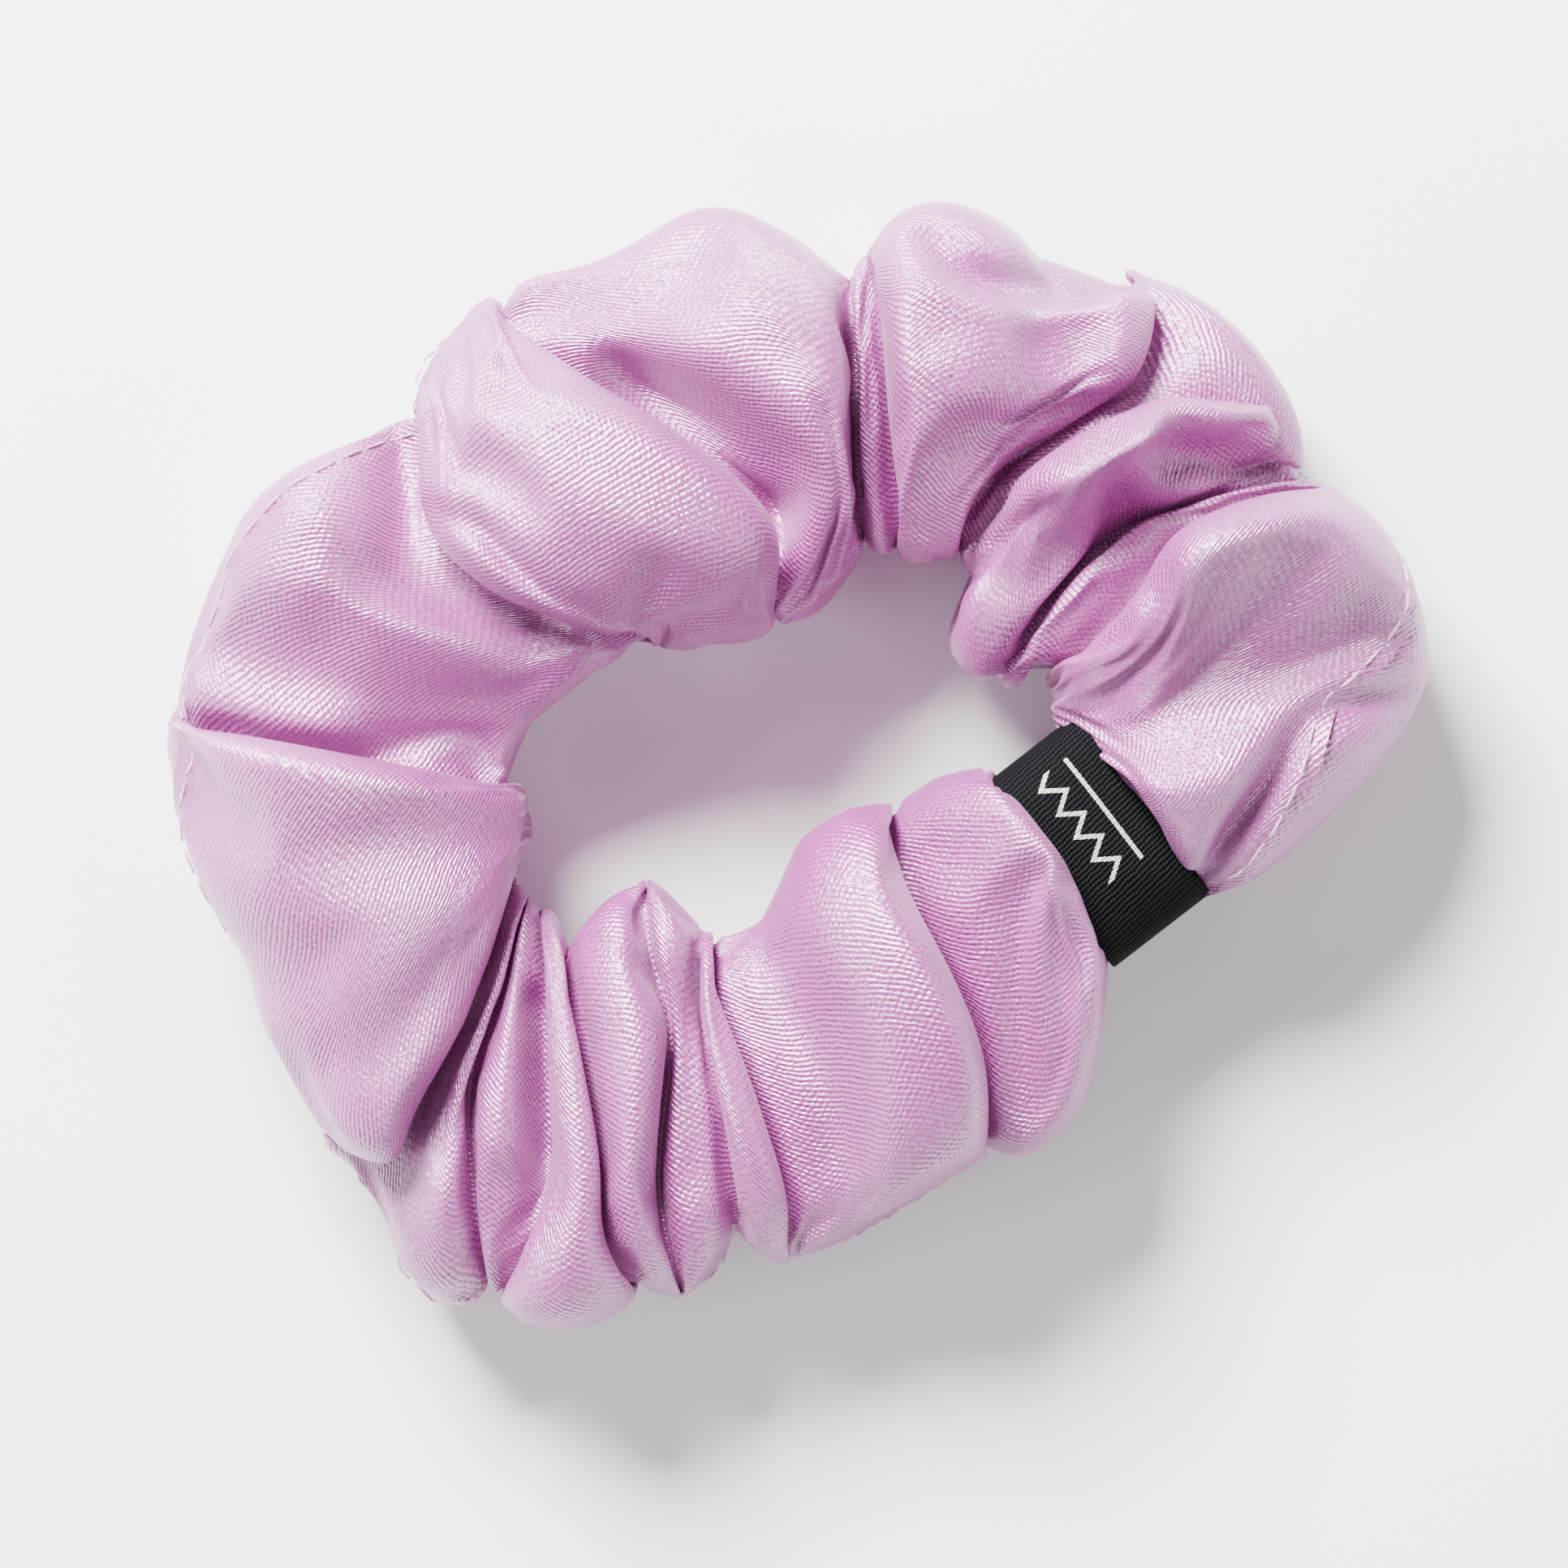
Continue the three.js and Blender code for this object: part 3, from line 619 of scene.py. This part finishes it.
# ---- the label ----
# A woven ribbon once round the neck, its ends lapped underneath.
LABEL_WIDTH = 10.0
LABEL_HALF = (8.7, 5.4)
LABEL_THICKNESS = 0.5
LABEL_SQUARE = 0.6  # below 1 squares the loop's corners
LABEL_LAP = 7.0  # mm that the ribbon's ends lap underneath
LAP_GAP = 0.05  # mm between the two ends
LAP_RISE = 0.35  # radians of the loop, over which the inner end rises above the outer one
LABEL_DROOP = 0.25  # mm that the ribbon's edges lie lower than its middle
LABEL_WAVES, LABEL_WAVE = 3, 0.12  # its slight waves, round the loop and in mm
LABEL_EDGE = 0.12  # mm, the bevel along its edges
LABEL_STEPS = 120
LABEL_COLUMNS = 12


def label_grid():
    """The ribbon's outer face, as rings of points from one edge of it to the other."""
    past = math.asin((LABEL_LAP / 2 / LABEL_HALF[0]) ** (1 / LABEL_SQUARE))
    turn = np.linspace(-np.pi / 2 - past, 1.5 * np.pi + past, LABEL_STEPS + 1)
    c, s = np.cos(turn), np.sin(turn)
    across_ring = LABEL_HALF[0] * np.sign(c) * np.abs(c) ** LABEL_SQUARE
    up = LABEL_HALF[1] * np.sign(s) * np.abs(s) ** LABEL_SQUARE
    rings = []
    for along in np.linspace(-LABEL_WIDTH / 2, LABEL_WIDTH / 2, LABEL_COLUMNS + 1):
        edge = abs(along) / (LABEL_WIDTH / 2)
        sag = LABEL_DROOP * edge ** 4 + LABEL_WAVE * np.sin(turn * LABEL_WAVES + along * 0.5)
        plan = LABEL_CENTRE + LABEL_ALONG * along + LABEL_ACROSS * across_ring[:, None]
        lap_from = 1.5 * np.pi - past
        inner_end = (LABEL_THICKNESS + LAP_GAP) * smooth(lap_from - LAP_RISE, lap_from, turn)
        rings.append(np.column_stack([plan, MID_Z + up * (1 - sag / LABEL_HALF[1]) + inner_end]))
    return np.array(rings)


def label_mesh():
    """The ribbon's outer face with its cloth coordinates, and the ribbon's length."""
    rings = label_grid()[::-1]
    u = distances(rings[0])
    v = np.linspace(0, LABEL_WIDTH, len(rings))
    corners = np.zeros((len(rings) - 1, len(u) - 1, 4, 2))
    for corner, (di, dj) in enumerate(((0, 0), (1, 0), (1, 1), (0, 1))):
        corners[:, :, corner, 0] = u[dj:len(u) - 1 + dj][None]
        corners[:, :, corner, 1] = v[di:len(v) - 1 + di][:, None]
    band = grid_mesh("label_ribbon", rings, corners)
    return band, u[-1]


# ---- make the cover, its stitches and the label ----

columns, owner = build_columns()
columns = relax(columns, 2)
for stroke in STROKES:
    press(columns, owner, *stroke)
columns = relax(columns, 1)
cloth_corners = cloth_map(columns, owner)
columns = settle(columns, *held_and_spare(columns, owner))
columns = lap_seam(columns)
cover = grid_mesh("satin_cover", columns, cloth_corners)
seam_thread = thread_mesh("long_seam_stitches", stitches(columns), STITCH_RADIUS)
label, label_length = label_mesh()

subdivide = cover.modifiers.new("smooth", "SUBSURF")
subdivide.levels = 1
subdivide.render_levels = 1
thicken = label.modifiers.new("thickness", "SOLIDIFY")
thicken.thickness = LABEL_THICKNESS * MM
thicken.offset = -1
rounded = label.modifiers.new("edges", "BEVEL")
rounded.width = LABEL_EDGE * MM
rounded.segments = 2
rounded.limit_method = "ANGLE"


# ---- materials ----

def material(name, base, roughness, **sockets):
    """A new material, its node tree and its shader. sockets are the shader's, with _ for a space."""
    made = bpy.data.materials.new(name)
    made.use_nodes = True
    shader = made.node_tree.nodes["Principled BSDF"]
    shader.inputs["Base Color"].default_value = (*base, 1)
    shader.inputs["Roughness"].default_value = roughness
    for socket, value in sockets.items():
        shader.inputs[socket.replace("_", " ")].default_value = value
    return made, made.node_tree, shader


def node(tree, kind, links=None, **settings):
    """Adds a node. links gives an output socket or a value for each input's name or number."""
    made = tree.nodes.new(kind)
    for key, value in settings.items():
        setattr(made, key, value)
    for key, value in (links or {}).items():
        if isinstance(value, bpy.types.NodeSocket):
            tree.links.new(value, made.inputs[key])
        else:
            made.inputs[key].default_value = value
    return made


def maths(tree, operation, *values):
    return node(tree, "ShaderNodeMath", dict(enumerate(values)), operation=operation).outputs[0]


def scaled(tree, value, factor):
    return maths(tree, "MULTIPLY", value, factor)


def total(tree, first, second):
    return maths(tree, "ADD", first, second)


def noise(tree, place, scale, detail):
    made = node(tree, "ShaderNodeTexNoise", {"Vector": place, "Scale": scale, "Detail": detail})
    return made.outputs["Fac"]


def ramp(tree, factor, low, high):
    """Blends between two colours. low and high are each a factor and the colour there."""
    made = node(tree, "ShaderNodeValToRGB", {"Fac": factor})
    for element, (position, colour) in zip(made.color_ramp.elements, (low, high)):
        element.position = position
        element.color = (*colour, 1)
    return made.outputs["Color"]


def add_bump(tree, shader, relief, strength, distance):
    """Bump from a relief. distance is in metres."""
    bump = node(tree, "ShaderNodeBump", {"Height": relief, "Strength": strength, "Distance": distance})
    tree.links.new(bump.outputs["Normal"], shader.inputs["Normal"])


WEAVE_PITCH = 0.43  # mm between the satin's diagonal lines
WEAVE_ANGLE = math.radians(58)
FLOAT_PITCH = WEAVE_PITCH * 1.3  # of the fainter lines that cross them
FLOAT_ANGLE = WEAVE_ANGLE + math.radians(68)
TWILL_RELIEF, FLOAT_RELIEF, GRAIN_RELIEF = 0.4, 0.16, 1.8  # shares of the satin's relief
SATIN_DARK, SATIN_LIGHT = (0.18, 0.011, 0.13), (0.52, 0.085, 0.425)


def thread_lines(tree, x, y, angle, pitch):
    """A sine wave across lines at an angle, from -1 to 1. x and y are in millimetres of cloth."""
    turned = total(tree, scaled(tree, x, math.cos(angle)), scaled(tree, y, math.sin(angle)))
    return maths(tree, "SINE", scaled(tree, turned, 2 * math.pi / pitch))


def cloth_places(tree):
    """A cloth's own coordinates in millimetres: both together, along it, and across it."""
    cloth = node(tree, "ShaderNodeUVMap", uv_map="cloth").outputs["UV"]
    split = node(tree, "ShaderNodeSeparateXYZ", {0: cloth})
    return cloth, split.outputs["X"], split.outputs["Y"]


def satin():
    """Lilac-pink satin: broken diagonal lines, a cloudy tone, and gloss that runs along the threads."""
    made, tree, shader = material(
        "satin", SATIN_LIGHT, 0.42, Metallic=0.12, IOR=2.0, Specular_IOR_Level=0.85, Sheen_Weight=0.15,
        Sheen_Roughness=0.3, Anisotropic=0.5)
    shader.inputs["Sheen Tint"].default_value = (1.0, 0.9, 0.98, 1)
    along_cloth = node(tree, "ShaderNodeTangent", direction_type="UV_MAP", uv_map="cloth").outputs["Tangent"]
    tree.links.new(along_cloth, shader.inputs["Tangent"])
    cloth, x, y = cloth_places(tree)
    wander = noise(tree, cloth, scale=0.35, detail=2.0)
    x = total(tree, x, scaled(tree, wander, 0.9))
    broken = scaled(tree, noise(tree, cloth, scale=1.9, detail=1.0), 1.7)
    twill = maths(tree, "MULTIPLY", thread_lines(tree, x, y, WEAVE_ANGLE, WEAVE_PITCH), broken)
    floats = thread_lines(tree, x, y, FLOAT_ANGLE, FLOAT_PITCH)
    grain = noise(tree, cloth, scale=2.6, detail=3.0)
    weave = total(tree, scaled(tree, twill, TWILL_RELIEF), scaled(tree, floats, FLOAT_RELIEF))
    weave = total(tree, weave, scaled(tree, grain, GRAIN_RELIEF))
    add_bump(tree, shader, weave, strength=0.8, distance=0.0001)
    cloudy = noise(tree, cloth, scale=0.06, detail=2.0)
    tone = total(tree, scaled(tree, weave, 0.34), scaled(tree, cloudy, 0.4))
    tree.links.new(ramp(tree, tone, (0.2, SATIN_DARK), (0.85, SATIN_LIGHT)), shader.inputs["Base Color"])
    tree.links.new(total(tree, scaled(tree, grain, 0.16), 0.28), shader.inputs["Roughness"])
    return made


RIB_PITCH = 0.38  # mm between the ribbon's ribs
MOTIF_FROM, MOTIF_TO = -3.25, 6.85  # mm along the ribbon from its middle, which is on top
LINE_AT, LINE_WIDTH = 2.9, 0.36  # across the ribbon, mm
CHEVRON_AT, CHEVRON_PITCH, CHEVRON_HEIGHT = 4.4, 2.3, 1.7  # the row's lower edge, across the ribbon, mm
SEWN_PITCH = 0.22  # mm between the motif's own threads
RIB_RELIEF, CROSS_RELIEF, NAP_RELIEF, SEWN_RELIEF = 0.5, 0.22, 0.8, 2.2  # shares of the ribbon's relief
RIBBON_DARK, RIBBON_LIGHT = (0.001, 0.0011, 0.0013), (0.009, 0.0095, 0.011)
CREAM_DARK, CREAM_LIGHT = (0.34, 0.31, 0.27), (0.80, 0.76, 0.70)


def motif(tree, u, v, grain, length):
    """1 on the ribbon's line and chevrons, and 0 elsewhere."""
    start, end = length / 2 + MOTIF_FROM, length / 2 + MOTIF_TO
    within = maths(tree, "MULTIPLY", maths(tree, "GREATER_THAN", u, start), maths(tree, "LESS_THAN", u, end))
    ragged = total(tree, v, scaled(tree, grain, 0.16))
    line = maths(tree, "COMPARE", ragged, LINE_AT, LINE_WIDTH / 2)
    phase = maths(tree, "FRACT", maths(tree, "DIVIDE", maths(tree, "SUBTRACT", u, start), CHEVRON_PITCH))
    peak = maths(tree, "ABSOLUTE", maths(tree, "SUBTRACT", phase, 0.5))
    zigzag = maths(tree, "SUBTRACT", ragged, scaled(tree, peak, CHEVRON_HEIGHT * 2))
    chevron = maths(tree, "COMPARE", zigzag, CHEVRON_AT, LINE_WIDTH * 0.9)
    return maths(tree, "MULTIPLY", within, maths(tree, "MAXIMUM", line, chevron))


def ribbon(length):
    """Black woven ribbon with a plain motif in cream thread: a line beside a row of chevrons."""
    made, tree, shader = material("ribbon", RIBBON_LIGHT, 0.6, Specular_IOR_Level=0.03)
    cloth, u, v = cloth_places(tree)
    wander = noise(tree, cloth, scale=0.9, detail=2.0)
    wavy = total(tree, u, scaled(tree, wander, 0.35))
    rib = thread_lines(tree, wavy, v, math.radians(6), RIB_PITCH)
    cross = thread_lines(tree, wavy, v, math.radians(82), RIB_PITCH * 0.8)
    grain = noise(tree, cloth, scale=5.0, detail=2.0)
    ground = total(tree, scaled(tree, rib, RIB_RELIEF), scaled(tree, cross, CROSS_RELIEF))
    ground = total(tree, ground, scaled(tree, grain, NAP_RELIEF))
    sewn = motif(tree, u, v, grain, length)
    threads = total(tree, scaled(tree, thread_lines(tree, u, v, 0.0, SEWN_PITCH), 0.3), 0.7)
    raised = scaled(tree, maths(tree, "MULTIPLY", sewn, threads), SEWN_RELIEF)
    add_bump(tree, shader, total(tree, ground, raised), strength=0.8, distance=0.0001)
    black = ramp(tree, ground, (0.0, RIBBON_DARK), (1.0, RIBBON_LIGHT))
    cream = ramp(tree, threads, (0.4, CREAM_DARK), (1.0, CREAM_LIGHT))
    mix = node(tree, "ShaderNodeMix", {"Factor": sewn, "A": black, "B": cream}, data_type="RGBA")
    tree.links.new(mix.outputs[2], shader.inputs["Base Color"])
    tree.links.new(total(tree, scaled(tree, grain, 0.25), 0.5), shader.inputs["Roughness"])
    return made


def twisted(name, light, dark, pitch, roughness):
    """Thread, yarn or knitted elastic: fine slanting strands and a little fuzz. pitch is in metres."""
    made, tree, shader = material(name, light, roughness, Sheen_Weight=0.3, Sheen_Roughness=0.4)
    place = node(tree, "ShaderNodeTexCoord").outputs["Object"]
    split = node(tree, "ShaderNodeSeparateXYZ", {0: place})
    slant = total(tree, total(tree, split.outputs["X"], split.outputs["Y"]), split.outputs["Z"])
    strand = maths(tree, "SINE", scaled(tree, slant, 2 * math.pi / pitch))
    fuzz = noise(tree, place, scale=3000.0, detail=3.0)
    relief = total(tree, scaled(tree, strand, 0.3), fuzz)
    add_bump(tree, shader, relief, strength=0.6, distance=0.00005)
    tree.links.new(ramp(tree, relief, (0.2, dark), (0.8, light)), shader.inputs["Base Color"])
    tree.links.new(total(tree, scaled(tree, fuzz, 0.2), roughness - 0.1), shader.inputs["Roughness"])
    return made


def paper(name, light, dark, roughness, scale):
    """A matt surface whose colour varies a little."""
    made, tree, shader = material(name, light, roughness)
    place = node(tree, "ShaderNodeTexCoord").outputs["Object"]
    grain = noise(tree, place, scale, detail=3.0)
    tree.links.new(ramp(tree, grain, (0.35, dark), (0.65, light)), shader.inputs["Base Color"])
    add_bump(tree, shader, grain, strength=0.3, distance=0.0001)
    return made


def set_material(obj, finish):
    obj.data.materials.clear()
    obj.data.materials.append(finish)


pink_thread = twisted("pink thread", (0.80, 0.50, 0.74), (0.56, 0.26, 0.48), 0.0003, 0.45)
black_thread = twisted("black thread", (0.030, 0.032, 0.038), (0.006, 0.007, 0.009), 0.0003, 0.55)
knit = twisted("elastic yarn", (0.82, 0.80, 0.81), (0.55, 0.52, 0.54), 0.0007, 0.8)
latex = twisted("rubber strand", (0.68, 0.62, 0.46), (0.50, 0.44, 0.30), 0.0011, 0.65)
set_material(cover, satin())
set_material(label, ribbon(label_length))
set_material(seam_thread, pink_thread)
set_material(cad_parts["closing_seam_thread"], pink_thread)
for number in (1, 2):
    set_material(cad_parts[f"label_lap_stitches_{number}"], black_thread)

# The elastic stretches with the cover, so each of its pieces is replaced by a copy with its own finish.
ELASTIC = {
    "elastic_braid": (knit, "elastic_yarn"),
    "rubber_strand_1": (latex, "rubber"),
    "rubber_strand_2": (latex, "rubber"),
    "rubber_strand_3": (latex, "rubber"),
    "rubber_strand_4": (latex, "rubber"),
    "elastic_lap_stitches_1": (pink_thread, "seam_thread"),
    "elastic_lap_stitches_2": (pink_thread, "seam_thread"),
}
elastic = []
for name, (finish, slot) in ELASTIC.items():
    piece = add_object(name + "_soft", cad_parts[name].data.copy())
    set_material(piece, finish)
    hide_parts(name)
    elastic.append(piece)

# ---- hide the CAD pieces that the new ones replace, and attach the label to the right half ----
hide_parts("satin_cover_left", "satin_cover_upper_right", "satin_cover_lower_right")
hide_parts("long_seam_thread_left", "long_seam_thread_upper_right",
            "long_seam_thread_lower_right")
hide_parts("woven_label")
for piece in (cover, label):
    for modifier in list(piece.modifiers):
        with bpy.context.temp_override(object=piece, active_object=piece):
            bpy.ops.object.modifier_apply(modifier=modifier.name)
for piece in (cover, seam_thread, *elastic):
    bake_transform(piece)
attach(label, "right_half")

# ---- stage: a camera straight above, a pale floor and three soft lights, in metres ----
VIEW_CENTRE = (-1.23 * MM, -1.27 * MM)
VIEW_WIDTH = 0.1288  # across the picture, at the height of the elastic
CAMERA_HEIGHT = 0.9
SENSOR = 36.0  # mm

camera = add_object("camera", bpy.data.cameras.new("camera"))
camera.location = (*VIEW_CENTRE, CAMERA_HEIGHT)
camera.data.sensor_width = SENSOR
camera.data.lens = SENSOR * (CAMERA_HEIGHT - MID_Z * MM) / VIEW_WIDTH
camera.data.clip_start = 0.01
bpy.context.scene.camera = camera

FLOOR_HALF = 3.0
FLOOR_BELOW = 0.0002  # keeps it clear of the cloth
FLOOR_LIGHT, FLOOR_DARK = (0.97, 0.97, 0.97), (0.9603, 0.9603, 0.9603)

floor_mesh = bpy.data.meshes.new("floor")
floor_corners = [(x * FLOOR_HALF, y * FLOOR_HALF, 0) for x, y in ((-1, -1), (1, -1), (1, 1), (-1, 1))]
floor_mesh.from_pydata(floor_corners, [], [(0, 1, 2, 3)])
floor = add_object("floor", floor_mesh)
floor.location.z = -FLOOR_BELOW
set_material(floor, paper("pale floor", FLOOR_LIGHT, FLOOR_DARK, roughness=0.9, scale=3.0))


def area_light(name, azimuth, elevation, distance, size, power):
    """A soft round light that faces the origin. Its angles are in degrees, and azimuth 0 is +X."""
    light = bpy.data.lights.new(name, "AREA")
    light.shape = "DISK"
    light.size = size
    light.energy = power
    turn, rise = math.radians(azimuth), math.radians(elevation)
    out, up = distance * math.cos(rise), distance * math.sin(rise)
    place = Vector((out * math.cos(turn), out * math.sin(turn), up))
    obj = add_object(name, light)
    obj.location = place
    obj.rotation_euler = (-place).to_track_quat("-Z", "Y").to_euler()


WORLD_STRENGTH = 0.345
area_light("key", azimuth=118, elevation=40, distance=0.9, size=0.45, power=63)
area_light("fill", azimuth=-30, elevation=35, distance=1.0, size=0.5, power=5.6)
area_light("left", azimuth=200, elevation=25, distance=1.0, size=0.4, power=4.5)

world = bpy.data.worlds.new("studio")
world.use_nodes = True
background = world.node_tree.nodes["Background"]
background.inputs["Color"].default_value = (1, 1, 1, 1)
background.inputs["Strength"].default_value = WORLD_STRENGTH
bpy.context.scene.world = world
